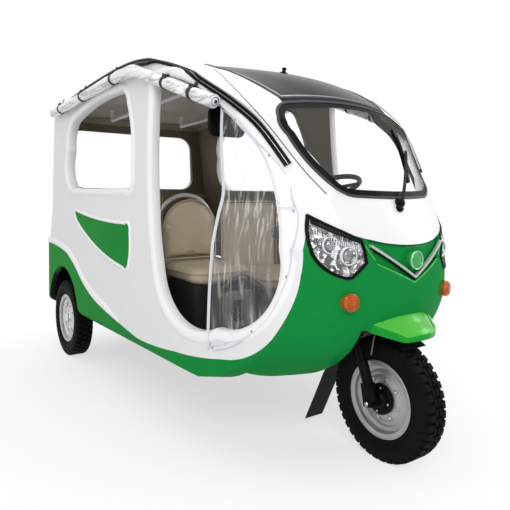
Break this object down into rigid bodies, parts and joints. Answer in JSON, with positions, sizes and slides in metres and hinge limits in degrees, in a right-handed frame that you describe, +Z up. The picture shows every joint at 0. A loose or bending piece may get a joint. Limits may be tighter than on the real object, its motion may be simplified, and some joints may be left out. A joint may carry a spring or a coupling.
{
  "type": "electric passenger tricycle",
  "caption": "Closed-body auto rickshaw with a steered front wheel, doorless cab, windshield, side openings, seats and rolled curtains.",
  "frame": {"origin": "on the ground, below the middle of the vehicle's length and width", "axes": "+X the vehicle's left, -Y its front, +Z up"},
  "size_m": [1.4398, 3.1926, 1.9401],
  "materials": {
    "amber_lens": "gloss",
    "badge_green": "gloss",
    "beak_green": "gloss",
    "beige_vinyl": "vinyl",
    "black_frame": "semi gloss",
    "black_plastic": "satin",
    "body_green": "gloss moulded panel",
    "body_white": "gloss moulded panel",
    "bright_trim": "bright",
    "cab_grey": "textured",
    "clear_glass": "clear",
    "clear_vinyl": "clear vinyl",
    "curtain_vinyl": "rolled vinyl",
    "lamp_lens": "clear",
    "plate_white": "blank",
    "red_lens": "gloss",
    "rim_grey": "silver paint",
    "steel": "brushed",
    "tinted_glass": "dark tint",
    "tyre": "matt"
  },
  "bodies": {
    "chassis": {"badge_disc": "badge_green", "beak": "beak_green", "bench_back": "beige_vinyl", "bench_base": "cab_grey", "bench_cushion": "beige_vinyl", "chassis_frame": "black_frame", "curtain_roll_left": "curtain_vinyl", "curtain_roll_right": "curtain_vinyl", "curtain_sheet_right": "clear_vinyl", "dash": "cab_grey", "drip_rail_left": "black_plastic", "drip_rail_right": "black_plastic", "driver_back": "beige_vinyl", "driver_cushion": "beige_vinyl", "floor_mat": "black_plastic", "floor_pan": "cab_grey", "front_frame": "body_white", "front_seat_base": "cab_grey", "grab_rails": "steel", "headlamp_left": "lamp_lens", "headlamp_right": "lamp_lens", "headlamp_trim": "black_plastic", "hood": "body_white", "insert_left": "body_green", "insert_right": "body_green", "leaf_spring_left": "black_frame", "leaf_spring_right": "black_frame", "nose_shell": "body_green", "nose_trim": "bright_trim", "number_plate": "plate_white", "passenger_back": "beige_vinyl", "passenger_cushion": "beige_vinyl", "rear_axle": "black_frame", "rear_panel": "body_white", "roof_light": "tinted_glass", "roof_panel": "body_white", "seat_hoop": "steel", "side_left": "body_white", "side_right": "body_white", "skirt_left": "body_green", "skirt_rear": "body_green", "skirt_right": "body_green", "tail_lamps": "red_lens", "turn_signals": "amber_lens", "windshield_glass": "clear_glass", "wiper": "black_plastic"},
    "steering": {"fork": "black_frame", "steering_stem": "black_frame", "front_mudguard": "black_plastic", "steering_wheel": "black_plastic", "front_axle": "steel"},
    "front_wheel": {"front_tyre": "tyre", "front_rim": "rim_grey"},
    "rear_wheel_right": {"rear_tyre_right": "tyre", "rear_rim_right": "rim_grey"},
    "rear_wheel_left": {"rear_tyre_left": "tyre", "rear_rim_left": "rim_grey"}
  },
  "joints": [
    {"name": "steer", "type": "hinge", "parent": "chassis", "child": "steering", "pos_m": [0, -1.27875, 0.2725], "axis": [0, 0.3567, 0.9342], "range_deg": [-30, 30]},
    {"name": "front_wheel_spin", "type": "hinge", "parent": "steering", "child": "front_wheel", "pos_m": [0, -1.32375, 0.2725], "axis": [1, 0, 0], "continuous": true},
    {"name": "rear_wheel_right_spin", "type": "hinge", "parent": "chassis", "child": "rear_wheel_right", "pos_m": [-0.622, 1.12625, 0.2725], "axis": [1, 0, 0], "continuous": true},
    {"name": "rear_wheel_left_spin", "type": "hinge", "parent": "chassis", "child": "rear_wheel_left", "pos_m": [0.622, 1.12625, 0.2725], "axis": [1, 0, 0], "continuous": true}
  ]
}
